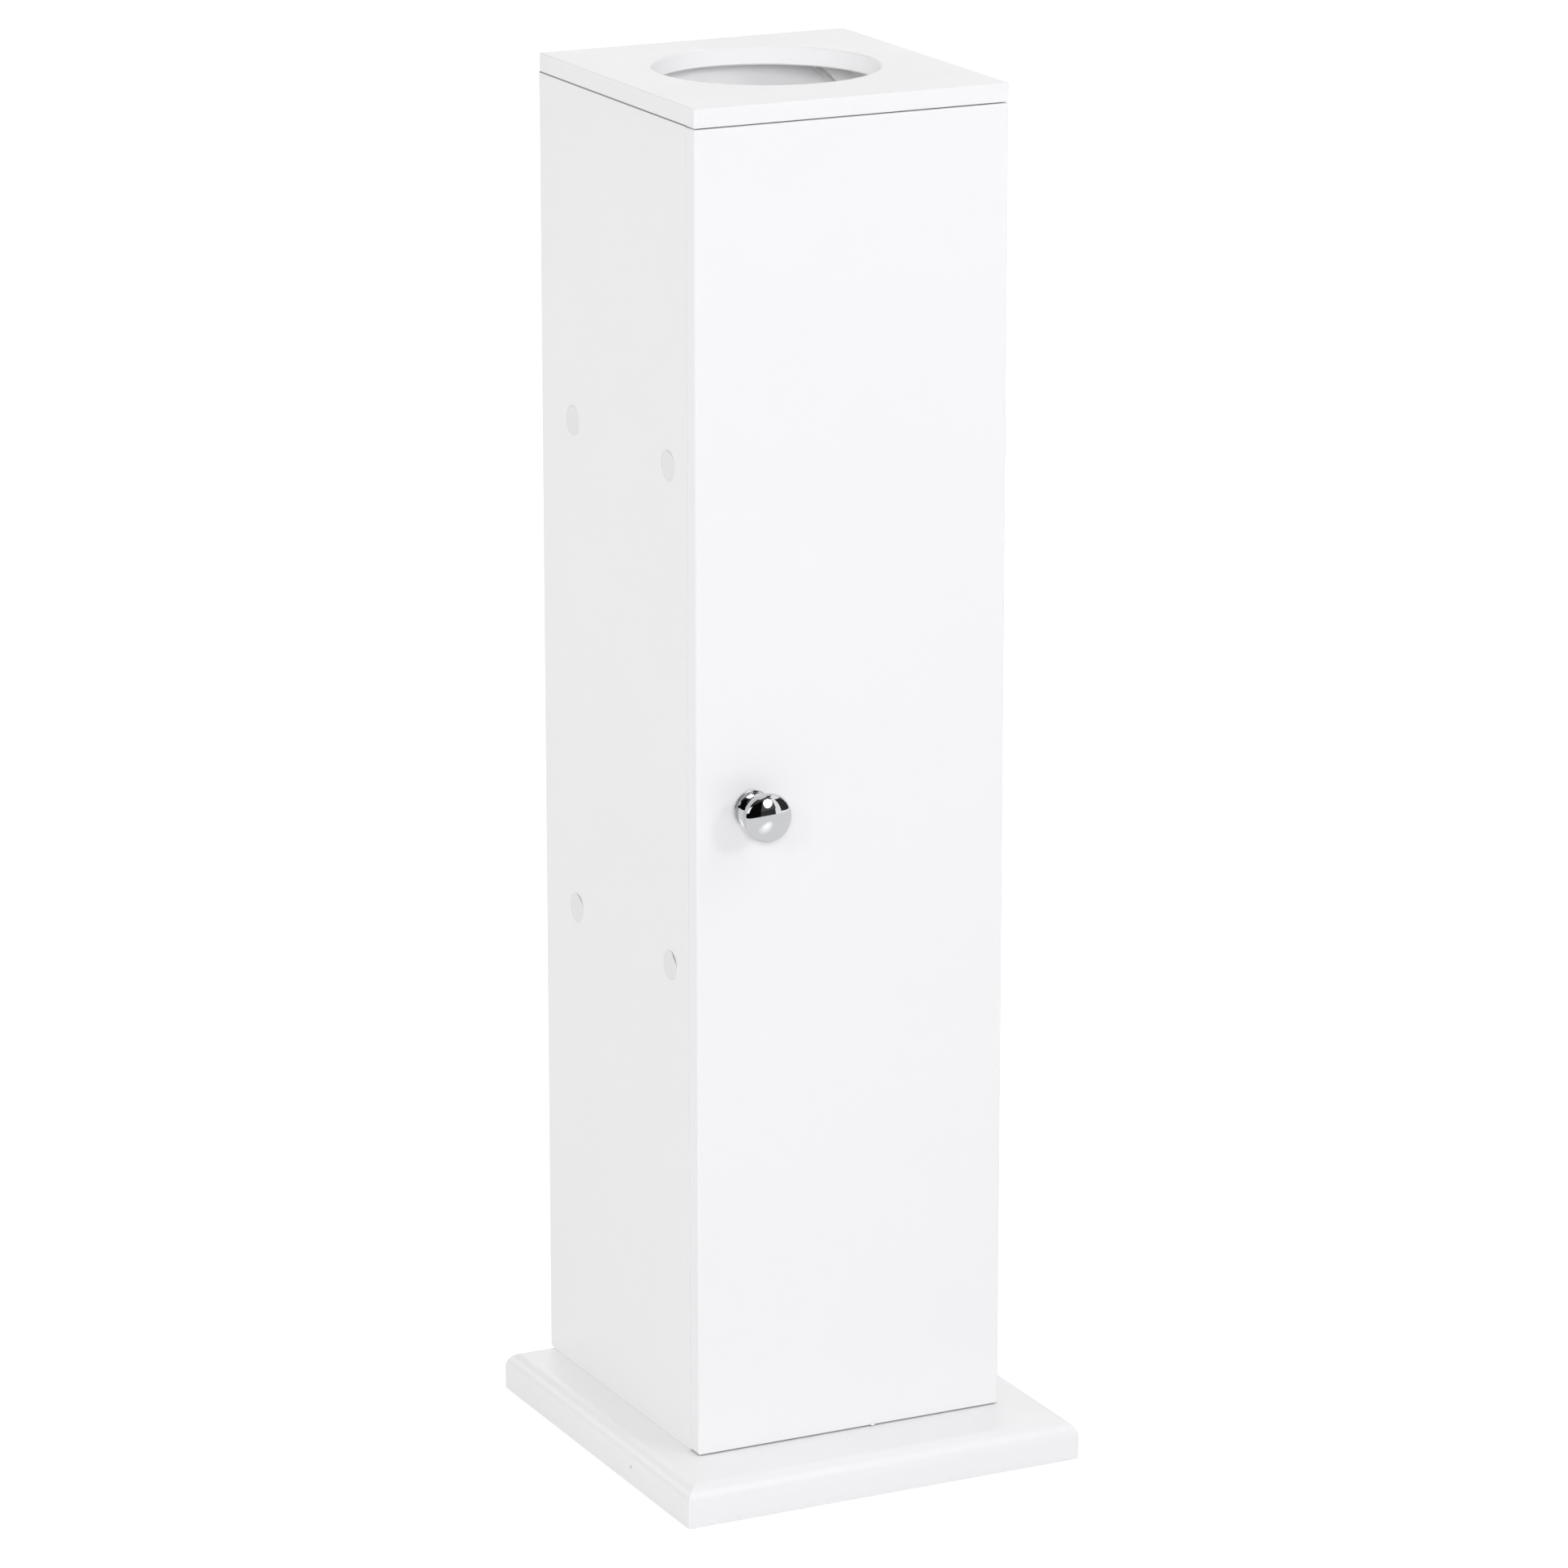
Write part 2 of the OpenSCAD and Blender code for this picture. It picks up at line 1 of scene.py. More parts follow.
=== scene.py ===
# %% [markdown]
# # A toilet roll cabinet in white lacquer
# This lesson dresses a slim bathroom cabinet. A CAD frame already holds every board, hinge,
# screw and cap at its real size, and says which of them swing with the door. Here they get
# their finish, and the few pieces whose surface matters more than their outline are modelled
# again as smooth meshes: the chrome knob and the little covers over the screws.
#
# The frame comes first, because everything else is placed from it.

import json
import math

import bmesh
import bpy
from mathutils import Matrix, Vector, noise


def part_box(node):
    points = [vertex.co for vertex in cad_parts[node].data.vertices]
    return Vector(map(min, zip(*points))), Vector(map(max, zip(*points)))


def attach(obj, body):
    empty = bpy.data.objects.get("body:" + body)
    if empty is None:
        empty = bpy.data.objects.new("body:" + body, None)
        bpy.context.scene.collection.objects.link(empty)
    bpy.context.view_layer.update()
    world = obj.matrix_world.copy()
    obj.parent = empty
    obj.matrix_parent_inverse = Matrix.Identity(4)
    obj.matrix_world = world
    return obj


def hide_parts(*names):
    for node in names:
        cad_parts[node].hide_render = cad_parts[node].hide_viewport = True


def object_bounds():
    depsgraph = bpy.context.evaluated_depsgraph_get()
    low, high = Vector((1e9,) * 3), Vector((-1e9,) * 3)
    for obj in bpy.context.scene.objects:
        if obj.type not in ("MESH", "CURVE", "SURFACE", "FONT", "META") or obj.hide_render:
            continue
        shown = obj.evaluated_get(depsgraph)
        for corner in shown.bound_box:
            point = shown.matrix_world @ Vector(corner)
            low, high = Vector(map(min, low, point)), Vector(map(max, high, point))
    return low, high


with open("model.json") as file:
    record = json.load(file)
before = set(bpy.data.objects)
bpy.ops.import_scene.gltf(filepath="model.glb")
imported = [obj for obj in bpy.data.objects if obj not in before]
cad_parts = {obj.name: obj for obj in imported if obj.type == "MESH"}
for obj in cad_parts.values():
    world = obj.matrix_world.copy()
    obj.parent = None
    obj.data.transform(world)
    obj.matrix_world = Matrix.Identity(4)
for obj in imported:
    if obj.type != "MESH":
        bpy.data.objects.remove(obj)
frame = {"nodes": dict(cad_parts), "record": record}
nodes = frame["nodes"]
cad_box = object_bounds()
mm = 0.001
print("pieces in the frame:", len(nodes))
print("size of the cabinet in mm:", [round(s / mm, 1) for s in cad_box[1] - cad_box[0]])

# %% [markdown]
# ## The camera
# The cabinet was photographed from its left and from a little above, through a long lens, so
# its upright edges run almost parallel. A direction, a distance and a focal length describe
# that better than a position does: the three numbers can be read off the picture one by one.
# The lens isn't shifted, so the same camera can walk round the cabinet.

# %% Where the camera stands
SENSOR = 36.0
LENS = 159.88
CAMERA_TURN = math.radians(-26.24)
CAMERA_RISE = math.radians(15.64)
CAMERA_DISTANCE = 3295 * mm
AIM_ACROSS = 5.84 * mm
AIM_UP = -12.33 * mm


def direction(turn, rise):
    """The way from the cabinet to something at that turn from its front and rise above level."""
    level = math.cos(rise)
    return Vector((math.sin(turn) * level, -math.cos(turn) * level, math.sin(rise)))


column_low, column_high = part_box("top_panel")
column_middle = Vector((0, (column_low.y + column_high.y) / 2, cad_box[1].z / 2))
back = direction(CAMERA_TURN, CAMERA_RISE)
across = Vector((math.cos(CAMERA_TURN), math.sin(CAMERA_TURN), 0))
aim = column_middle + AIM_ACROSS * across + AIM_UP * back.cross(across)

camera_data = bpy.data.cameras.new("camera")
camera_data.sensor_width = SENSOR
camera_data.lens = LENS
camera_data.clip_start = 0.1
camera_data.clip_end = 60
camera = bpy.data.objects.new("camera", camera_data)
camera.location = aim + CAMERA_DISTANCE * back
camera.rotation_mode = "QUATERNION"
camera.rotation_quaternion = back.to_track_quat("Z", "Y")
bpy.context.scene.collection.objects.link(camera)
bpy.context.scene.camera = camera
bpy.context.scene.view_settings.view_transform = "Standard"
print("camera at", [round(c, 3) for c in camera.location])

# %% [markdown]
# ## Building materials from nodes
# Every finish below is a small tree of nodes around one Principled shader. A few helpers keep
# the trees short: `add` makes a node and fills its sockets, `finish` starts a material and
# hands back its shader, and the others wrap the nodes that come up again and again. A socket
# is given either a plain value or the output of another node, so a tree reads like a sentence.
#
# Noise runs from 0 to 1 but seldom gets near either end, so two ranges that it does fill are
# named here, and `ramp` stretches one of them to whatever the finish needs.

# %% Helpers for node trees
NOISE_WIDE = (0.3, 0.7)
NOISE_MIDDLE = (0.35, 0.65)


def add(tree, kind, settings=None, **sockets):
    """A node of that kind. Sockets are named with _ for a space and take a value or an output."""
    made = tree.nodes.new("ShaderNode" + kind)
    for name, value in (settings or {}).items():
        setattr(made, name, value)
    for name, value in sockets.items():
        socket = made.inputs[int(name[1:]) if name[1:].isdigit() else name.replace("_", " ")]
        if isinstance(value, bpy.types.NodeSocket):
            tree.links.new(value, socket)
        else:
            socket.default_value = value
    return made


def finish(name, colour, roughness, **sockets):
    """A new material: its tree, its shader and the coordinates of the piece that wears it."""
    material = bpy.data.materials.new(name)
    material.use_nodes = True
    tree = material.node_tree
    shader = tree.nodes["Principled BSDF"]
    shader.inputs["Base Color"].default_value = (*colour, 1)
    shader.inputs["Roughness"].default_value = roughness
    for socket, value in sockets.items():
        shader.inputs[socket.replace("_", " ")].default_value = value
    place = add(tree, "TexCoord").outputs["Object"]
    return material, tree, shader, place


def clouds(tree, place, scale, detail=2.0, rough=0.5):
    """Soft noise between 0 and 1. Scale is in lumps per metre."""
    made = add(tree, "TexNoise", Vector=place, Scale=scale, Detail=detail, Roughness=rough)
    return made.outputs["Fac"]


def ramp(tree, value, low, high, to_low=0.0, to_high=1.0):
    """Stretches value from low..high to to_low..to_high, and stops at both ends."""
    made = add(tree, "MapRange", Value=value, From_Min=low, From_Max=high,
               To_Min=to_low, To_Max=to_high)
    return made.outputs["Result"]


def blend(tree, amount, first, second):
    """A colour that goes from first to second with amount. First may be a node's output."""
    start = first if isinstance(first, bpy.types.NodeSocket) else (*first, 1)
    made = add(tree, "Mix", {"data_type": "RGBA"}, _0=amount, _6=start, _7=(*second, 1))
    return made.outputs[2]


def relief(tree, shader, height, depth):
    """Lets height, from 0 to 1, stand up by depth in metres on what the shader covers."""
    made = add(tree, "Bump", Height=height, Distance=depth, Strength=1.0)
    tree.links.new(made.outputs["Normal"], shader.inputs["Normal"])


def math_node(tree, operation, first, second=0.0):
    """The result of one sum on two values."""
    return add(tree, "Math", {"operation": operation}, _0=first, _1=second).outputs[0]


# %% [markdown]
# ## The floor, the backdrop and the lamps
# The picture is a studio shot on white. The knob, which is a mirror, shows what stood round
# it: a large soft box in front and a little to the right, a long one to the left and behind,
# a white wall on the right, and a dark room everywhere else. Cards of those sizes are built
# here for the chrome to mirror. The lamps that light the boards are a set of their own.
#
# The white behind the cabinet isn't more light. The floor is a plain pale surface that looks
# white to the camera and keeps the cabinet's soft shadow; the rest of the room only sees its
# real, greyer colour.

# %% Studio sizes and strengths
WHITE = (1.0, 1.0, 1.0)
FLOOR_SIZE = 30.0
FLOOR_COLOUR = (0.74, 0.74, 0.75)
FLOOR_WHITE = 0.83
FLOOR_SHADE = 0.5
AMBIENT = 0.35
SHEEN_AT = Vector((132 * mm, -800 * mm, 0))
SHEEN_SIZE = Vector((125 * mm, 330 * mm, 1))
SHEEN_TURN = math.radians(28)
SHEEN_FADE = (0.35, 1.5)
SHEEN_GAIN = 0.65


def seen_directly(tree):
    """Two things: 1 for rays from the camera, a mirror or glass, and the ray's whole path."""
    path = add(tree, "LightPath").outputs
    mirrored = math_node(tree, "MAXIMUM", path["Is Glossy Ray"], path["Is Transmission Ray"])
    return math_node(tree, "MAXIMUM", path["Is Camera Ray"], mirrored), path


def stage_mesh(name, points, faces, material):
    """A flat piece of the studio, which isn't part of the cabinet."""
    mesh = bpy.data.meshes.new(name)
    mesh.from_pydata(points, [], faces)
    mesh.materials.append(material)
    made = bpy.data.objects.new(name, mesh)
    bpy.context.scene.collection.objects.link(made)
    return made


# %% The floor
def sheen_on_floor(tree):
    """What a mirror sees of the floor: white, with the soft shine of the front lamp on it."""
    place = add(tree, "NewGeometry").outputs["Position"]
    scaled = add(tree, "Mapping", {"vector_type": "TEXTURE"}, Vector=place, Location=SHEEN_AT,
                 Rotation=(0, 0, SHEEN_TURN), Scale=SHEEN_SIZE).outputs[0]
    away = add(tree, "VectorMath", {"operation": "LENGTH"}, _0=scaled).outputs["Value"]
    return ramp(tree, away, *SHEEN_FADE, 1.0 + SHEEN_GAIN, 1.0)


def floor_material():
    """White to the camera and shaded by the cabinet, plain to mirrors, greyer to all the rest."""
    material = bpy.data.materials.new("studio_floor")
    material.use_nodes = True
    tree = material.node_tree
    tree.nodes.remove(tree.nodes["Principled BSDF"])
    direct, path = seen_directly(tree)
    matt = add(tree, "BsdfDiffuse", Color=(*FLOOR_COLOUR, 1)).outputs[0]
    shaded = add(tree, "BsdfDiffuse", Color=(FLOOR_SHADE, FLOOR_SHADE, FLOOR_SHADE, 1)).outputs[0]
    lift = add(tree, "Emission", Color=(*WHITE, 1), Strength=FLOOR_WHITE).outputs[0]
    white = add(tree, "AddShader", _0=shaded, _1=lift).outputs[0]
    plain = add(tree, "Emission", Color=(*WHITE, 1), Strength=sheen_on_floor(tree)).outputs[0]
    pale = add(tree, "MixShader", _0=path["Is Glossy Ray"], _1=white, _2=plain).outputs[0]
    both = add(tree, "MixShader", _0=direct, _1=matt, _2=pale).outputs[0]
    tree.links.new(both, tree.nodes["Material Output"].inputs["Surface"])
    return material


half = FLOOR_SIZE / 2
corners = [(-half, -half, 0), (half, -half, 0), (half, half, 0), (-half, half, 0)]
stage_mesh("floor", corners, [(0, 1, 2, 3)], floor_material())
print("floor is", FLOOR_SIZE, "m square")

# %% The white behind everything
world = bpy.data.worlds.new("studio")
world.use_nodes = True
bpy.context.scene.world = world
world_tree = world.node_tree
world_tree.nodes.clear()
sky_direct = seen_directly(world_tree)[0]
sky_white = add(world_tree, "Background", Color=(*WHITE, 1), Strength=1.0).outputs[0]
sky_soft = add(world_tree, "Background", Color=(*WHITE, 1), Strength=AMBIENT).outputs[0]
sky_both = add(world_tree, "MixShader", _0=sky_direct, _1=sky_soft, _2=sky_white).outputs[0]
add(world_tree, "OutputWorld", Surface=sky_both)

# %% [markdown]
# A lamp is placed by the way to it from the middle of the cabinet. The main light stands
# close to the camera's line, so it lights nearly everything the camera sees, down into the
# roll hole. Two small keys, one from each side, throw the knob's two faint shadows. A strip
# on the left, a wall and a fill on the right, a ceiling and two lamps behind give each face an
# even tone of its own. Soft boxes are area lamps: their size sets how soft a shadow is. All of
# them are hidden from mirrors.

# %% The lamps
def area_lamp(name, place, way, width, height, watts, colour):
    """A rectangle of light at place, which shines against way."""
    data = bpy.data.lights.new(name, "AREA")
    data.shape = "RECTANGLE"
    data.color = colour
    data.size = width
    data.size_y = height
    data.energy = watts
    lamp = bpy.data.objects.new(name, data)
    lamp.location = place
    lamp.rotation_mode = "QUATERNION"
    lamp.rotation_quaternion = way.to_track_quat("Z", "Y")
    lamp.visible_camera = False
    lamp.visible_glossy = False
    bpy.context.scene.collection.objects.link(lamp)
    return lamp


def soft_box(name, turn, rise, distance, width, height, watts, colour=WHITE):
    """A lamp at that turn and rise, in degrees, and distance from the middle of the cabinet."""
    way = direction(math.radians(turn), math.radians(rise))
    return area_lamp(name, column_middle + distance * way, way, width, height, watts, colour)


COOL = (0.985, 0.975, 1.0)
# Name, turn, rise, distance, width and height in metres, watts, and a tint where it has one.
lamps = [
    soft_box("main_light", -24, 18, 5.5, 1.2, 0.8, 110, COOL),
    soft_box("key_light", 25, 22, 2.4, 0.36, 0.32, 6, COOL),
    soft_box("left_key", -46, 24, 5.0, 0.5, 0.5, 14, COOL),
    soft_box("left_strip", -108, 22, 3.2, 4.0, 1.6, 31),
    soft_box("right_wall", 52, 50, 3.4, 2.4, 2.0, 21, COOL),
    soft_box("ceiling", -60, 80, 3.0, 2.4, 2.4, 5),
    soft_box("back_light", 180, 50, 3.0, 2.0, 2.0, 6),
    soft_box("back_fill", 175, 10, 3.4, 3.0, 2.4, 38),
    soft_box("right_fill", 98, 12, 3.4, 2.6, 2.2, 22, COOL),
]
for lamp in lamps:
    print(lamp.name, lamp.data.energy, "W")

# %% [markdown]
# In the picture the roll hole isn't a black mouth: the back and the wall of the hole are
# almost as pale as the top. Much of that is the main light, which looks in over the front
# edge. The rest comes from light that bounces about inside, for which one weak lamp under
# the hole stands in. It shines back and up, so it never reaches the outside.

# %% Light under the roll hole
HOLE_LAMP_AT = Vector((4 * mm, -8 * mm, 612 * mm))
HOLE_LAMP_WAY = Vector((0, -0.94, -0.34))
HOLE_LAMP_SIZE = (100 * mm, 40 * mm)
HOLE_LAMP_WATTS = 0.02
hole_lamp = area_lamp("under_the_hole", HOLE_LAMP_AT, HOLE_LAMP_WAY,
                      *HOLE_LAMP_SIZE, HOLE_LAMP_WATTS, COOL)
print(hole_lamp.name, round(hole_lamp.data.energy, 3), "W")

# %% [markdown]
# The rest of the room is a ring of cards, black and white, that only mirrors see: they take
# no light from the boards and throw no shadow. Without them chrome looks like grey plastic,
# because a mirror is only as interesting as what stands in front of it. Each card is given by
# the turns it spans and by how high its lower and upper edges look from the knob.

# %% Cards for the mirrors
CARD_DISTANCE = 4.6
LAMP_FACE_DISTANCE = 0.6 * CARD_DISTANCE
CARD_STEP = 4
CARD_LEAST_STEPS = 4
LAMP_FACE_STEP = 6
BLACK = 0.004
CEILING = 0.07
EYE_HEIGHT = (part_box("knob")[0].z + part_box("knob")[1].z) / 2


def glow_material(name, level):
    """A grey that shines by itself at that level."""
    material = bpy.data.materials.new(name)
    material.use_nodes = True
    tree = material.node_tree
    tree.nodes.remove(tree.nodes["Principled BSDF"])
    glow = add(tree, "Emission", Color=(level, level, level, 1), Strength=1.0).outputs[0]
    tree.links.new(glow, tree.nodes["Material Output"].inputs["Surface"])
    return material


def only_in_mirrors(made):
    """Hides a piece of the studio from all but mirrors."""
    made.visible_camera = False
    made.visible_diffuse = False
    made.visible_shadow = False
    made.visible_transmission = False


def card(name, level, from_turn, to_turn, low, high, distance=CARD_DISTANCE):
    """A curved screen. Low and high are pairs: the rise of that edge at its start and its end."""
    steps = max(CARD_LEAST_STEPS, int((to_turn - from_turn) / CARD_STEP))
    points = []
    for i in range(steps + 1):
        way = direction(math.radians(from_turn + (to_turn - from_turn) * i / steps), 0)
        for start, end in (low, high):
            rise = math.radians(start + (end - start) * i / steps)
            height = max(0, EYE_HEIGHT + distance * math.tan(rise))
            points.append(tuple(way * distance + Vector((0, 0, height))))
    faces = [(2 * i, 2 * i + 2, 2 * i + 3, 2 * i + 1) for i in range(steps)]
    only_in_mirrors(stage_mesh(name, points, faces, glow_material(name, level)))


def lamp_face(name, level, turn, rise, wide, tall):
    """A bright oval as the mirrors see a soft box. The angles are in degrees from the knob."""
    way = direction(math.radians(turn), math.radians(rise))
    sideways = Vector((math.cos(math.radians(turn)), math.sin(math.radians(turn)), 0))
    upwards = way.cross(sideways)
    middle = Vector((0, 0, EYE_HEIGHT)) + LAMP_FACE_DISTANCE * way
    half_wide = LAMP_FACE_DISTANCE * math.tan(math.radians(wide / 2))
    half_tall = LAMP_FACE_DISTANCE * math.tan(math.radians(tall / 2))
    angles = [math.radians(a) for a in range(0, 360, LAMP_FACE_STEP)]
    rim = [tuple(middle + half_wide * math.cos(a) * sideways + half_tall * math.sin(a) * upwards)
           for a in angles]
    only_in_mirrors(stage_mesh(name, rim, [tuple(range(len(rim)))], glow_material(name, level)))


# A lamp's face: name, level, turn, rise, width and height. A card: name, level, first and last
# turn, the rises of its lower edge, the rises of its upper edge. All angles are in degrees.
lamp_face("lamp_in_mirrors", 3.5, 15, 33, 25, 40)
card("dark_front_left", BLACK, -80, -4, (-5, -5), (52, 52))
card("grey_above_left", CEILING, -160, -4, (40, 52), (75, 75))
card("dark_under_strip", BLACK, -180, -80, (-5, -5), (0, 16))
card("strip_reflector", 1.5, -180, -80, (0, 16), (14, 42))
card("dark_behind_left", BLACK, -180, -80, (14, 42), (60, 60))
card("dark_under_lamp", 0.05, -4, 31, (-5, -5), (8, 8))
card("grey_beside_lamp", 0.12, -4, 33, (8, 8), (75, 75))
card("white_gap", 1.2, 33, 46, (-5, -5), (45, 45))
card("dark_patch", 0.04, 46, 100, (0, 0), (38, 34))
card("white_right", 1.2, 46, 180, (-5, 0), (60, 60), CARD_DISTANCE + 0.2)
card("grey_above_right", CEILING, 33, 180, (45, 60), (75, 75), CARD_DISTANCE + 0.4)
print("cards stand", CARD_DISTANCE, "m away")

# %% [markdown]
# ## White lacquer
# The boards are fine fibreboard with sprayed satin lacquer. Up close such a coat isn't flat:
# it has the shallow waves called orange peel, a few millimetres wide, a very slight drift in
# tone and shine where the spray overlapped, and now and then a speck of dust under the last
# coat. Each is a texture at its own scale. The colour itself stays almost even, because
# a painted board that looks cloudy looks dirty. One small grey nick sits on the left edge of
# the foot, where the paint has been knocked off: a ragged spot round one given place.
# The fine lines between the boards are painted shade: where a point sees hardly any sky within a
# millimetre or two, the coat is darker, and darkest along the top's joint with the sides. Faces
# that look partly upwards, as on rounded edges, carry a touch of painted shade too.

# %% The lacquer
LACQUER_LIGHT = (0.880, 0.879, 0.881)
LACQUER_DARK = (0.871, 0.870, 0.872)
LACQUER_ROUGHNESS = (0.30, 0.38)
TONE_DRIFT_PER_METRE = 7
SHINE_DRIFT_PER_METRE = 23
PEEL_PER_METRE = 420
PEEL_DEPTH = 0.03 * mm
DUST_PER_METRE = 45
DUST_RADIUS = 0.45 * mm
DUST_CHOSEN = (0.87, 0.88)
NICK_AT = (-103.0 * mm, -41.0 * mm, 10.0 * mm)
NICK_COLOUR = (0.50, 0.49, 0.48)
NICK_RADII = (0.4 * mm, 1.0 * mm)
NICK_RAGGED = 0.5 * mm
NICK_TEETH_PER_METRE = 1500
# Painted shade: how far and how dark the joints, the partly upward faces and the top's joint go.
JOINT_REACH = 1.6 * mm
JOINT_SKY = (0.12, 0.62)
JOINT_SHADE = 0.74
EDGE_STARTS = (0.10, 0.45)
EDGE_ENDS = (0.80, 0.99)
EDGE_SHADE = 0.955
# Painted shade along the top's joint with the sides, on the outer faces behind the door.
TOP_JOINT_SHADE = 0.36
TOP_JOINT_HALF = (0.2 * mm, 0.6 * mm)
BEHIND_DOOR_Y = (-60 * mm, -57 * mm)
OUTER_SKIN_X = (76 * mm, 78 * mm)


def dust_specks(tree, place, per_metre, size):
    """Sparse small dots, 1 in their middle: only one cell in eight holds one."""
    cells = add(tree, "TexVoronoi", Vector=place, Scale=per_metre, Randomness=1.0)
    near = ramp(tree, cells.outputs["Distance"], 0.0, size * per_metre, 1.0, 0.0)
    chosen = add(tree, "SeparateColor", Color=cells.outputs["Color"]).outputs[0]
    return math_node(tree, "MULTIPLY", near, ramp(tree, chosen, *DUST_CHOSEN))


def top_joint_shade(tree, place):
    """Painted shade along the joint of the top with the sides: a fine dark line behind the door."""
    axes = add(tree, "SeparateXYZ", Vector=place).outputs
    # Painted shade: a fine dark line at the height of the top's underside.
    off = math_node(tree, "ABSOLUTE", math_node(tree, "SUBTRACT", axes["Z"], column_low.z))
    behind = ramp(tree, axes["Y"], *BEHIND_DOOR_Y, 1.0, TOP_JOINT_SHADE)
    sideways = math_node(tree, "ABSOLUTE", axes["X"])
    outside = ramp(tree, sideways, *OUTER_SKIN_X, 1.0, TOP_JOINT_SHADE)
    return ramp(tree, off, *TOP_JOINT_HALF, math_node(tree, "MAXIMUM", behind, outside), 1.0)


def with_painted_shade(tree, place, colour):
    """Darkens colour with painted shade in narrow joints, and a little on faces that look partly
    up.
    """
    # Painted shade in the joints: where little sky is open within a short reach, the colour is
    # darker.
    open_sky = add(tree, "AmbientOcclusion", {"samples": 8}, Distance=JOINT_REACH).outputs["AO"]
    joint = ramp(tree, open_sky, *JOINT_SKY, JOINT_SHADE, 1.0)
    # Painted shade on faces that look partly upwards, such as the rounded edges.
    normal = add(tree, "NewGeometry").outputs["True Normal"]
    upwards = add(tree, "SeparateXYZ", Vector=normal).outputs["Z"]
    low = ramp(tree, upwards, *EDGE_STARTS)
    high = ramp(tree, upwards, *EDGE_ENDS, 1.0, 0.0)
    edge = ramp(tree, math_node(tree, "MULTIPLY", low, high), 0.0, 1.0, 1.0, EDGE_SHADE)
    both = math_node(tree, "MULTIPLY", joint, edge)
    amount = math_node(tree, "MULTIPLY", both, top_joint_shade(tree, place))
    return add(tree, "VectorMath", {"operation": "SCALE"}, _0=colour, Scale=amount).outputs[0]


def nicked(tree, place, colour):
    """Colour with the grey nick in it: a spot whose rim is made ragged by noise."""
    near = add(tree, "VectorMath", {"operation": "DISTANCE"}, _0=place, _1=NICK_AT).outputs["Value"]
    teeth = clouds(tree, place, NICK_TEETH_PER_METRE)
    ragged = math_node(tree, "ADD", near, ramp(tree, teeth, *NOISE_WIDE, -NICK_RAGGED, NICK_RAGGED))
    return blend(tree, ramp(tree, ragged, *NICK_RADII, 1.0, 0.0), colour, NICK_COLOUR)


def lacquer_material():
    """Satin white with drift, orange peel, dust, the nick, and painted shade in joints and on
    edges.
    """
    material, tree, shader, place = finish("white_lacquer", LACQUER_LIGHT, roughness=0.34)
    drift = clouds(tree, place, TONE_DRIFT_PER_METRE, detail=3)
    tone = blend(tree, ramp(tree, drift, *NOISE_MIDDLE), LACQUER_LIGHT, LACQUER_DARK)
    # The nick, then painted shade in the joints and on partly upward faces.
    colour = with_painted_shade(tree, place, nicked(tree, place, tone))
    tree.links.new(colour, shader.inputs["Base Color"])
    shine = clouds(tree, place, SHINE_DRIFT_PER_METRE, detail=3)
    tree.links.new(ramp(tree, shine, *NOISE_WIDE, *LACQUER_ROUGHNESS), shader.inputs["Roughness"])
    specks = dust_specks(tree, place, DUST_PER_METRE, DUST_RADIUS)
    peel = clouds(tree, place, PEEL_PER_METRE, detail=1.5)
    height = math_node(tree, "ADD", math_node(tree, "MULTIPLY", peel, 0.5), specks)
    relief(tree, shader, height, PEEL_DEPTH)
    return material


lacquer = lacquer_material()

# %% [markdown]
# ## Board, plastic, foam and magnet
# The back is thin fibreboard with a matt white face, where short fibres show as a faint
# mottle. The corner blocks and the catch are moulded plastic with a fine spark-eroded grain.
# The screw covers are slightly creamier film. The pads are foam, all small open cells, and
# the magnet is sintered ferrite, dull and grainy.

# %% Matt and moulded finishes
PLASTIC_SHADE = 0.985
PLASTIC_SPREAD = 0.05


def board_material():
    """Matt white, mottled by short upright fibres."""
    material, tree, shader, place = finish("white_faced_board", (0.858, 0.857, 0.860),
                                           roughness=0.55)
    stretched = add(tree, "Mapping", Vector=place, Scale=(1.0, 1.0, 0.25)).outputs[0]
    fibres = clouds(tree, stretched, 900, detail=4, rough=0.65)
    amount = ramp(tree, fibres, *NOISE_WIDE)
    tone = blend(tree, amount, (0.850, 0.849, 0.852), (0.866, 0.865, 0.868))
    tree.links.new(tone, shader.inputs["Base Color"])
    tree.links.new(ramp(tree, fibres, *NOISE_WIDE, 0.50, 0.62), shader.inputs["Roughness"])
    relief(tree, shader, fibres, depth=0.04 * mm)
    return material


def plastic_material(name, colour, roughness, grain_per_metre, grain_depth):
    """Moulded plastic: a slight drift in tone and a fine grain."""
    material, tree, shader, place = finish(name, colour, roughness)
    grain = clouds(tree, place, grain_per_metre)
    shade = tuple(c * PLASTIC_SHADE for c in colour)
    amount = ramp(tree, clouds(tree, place, 60), *NOISE_MIDDLE)
    tree.links.new(blend(tree, amount, colour, shade), shader.inputs["Base Color"])
    spread = (roughness - PLASTIC_SPREAD, roughness + PLASTIC_SPREAD)
    tree.links.new(ramp(tree, grain, *NOISE_WIDE, *spread), shader.inputs["Roughness"])
    relief(tree, shader, grain, grain_depth)
    return material


def foam_material():
    """Small open cells, with painted shade where they are deep."""
    material, tree, shader, place = finish("grey_foam", (0.11, 0.11, 0.115), roughness=0.92)
    cells = add(tree, "TexVoronoi", Vector=place, Scale=2200, Randomness=1.0).outputs["Distance"]
    # Painted shade: each cell is darker towards its middle, where the bump makes it deepest.
    amount = ramp(tree, cells, 0.1, 0.6)
    tone = blend(tree, amount, (0.06, 0.06, 0.063), (0.13, 0.13, 0.135))
    tree.links.new(tone, shader.inputs["Base Color"])
    relief(tree, shader, cells, depth=0.15 * mm)
    return material


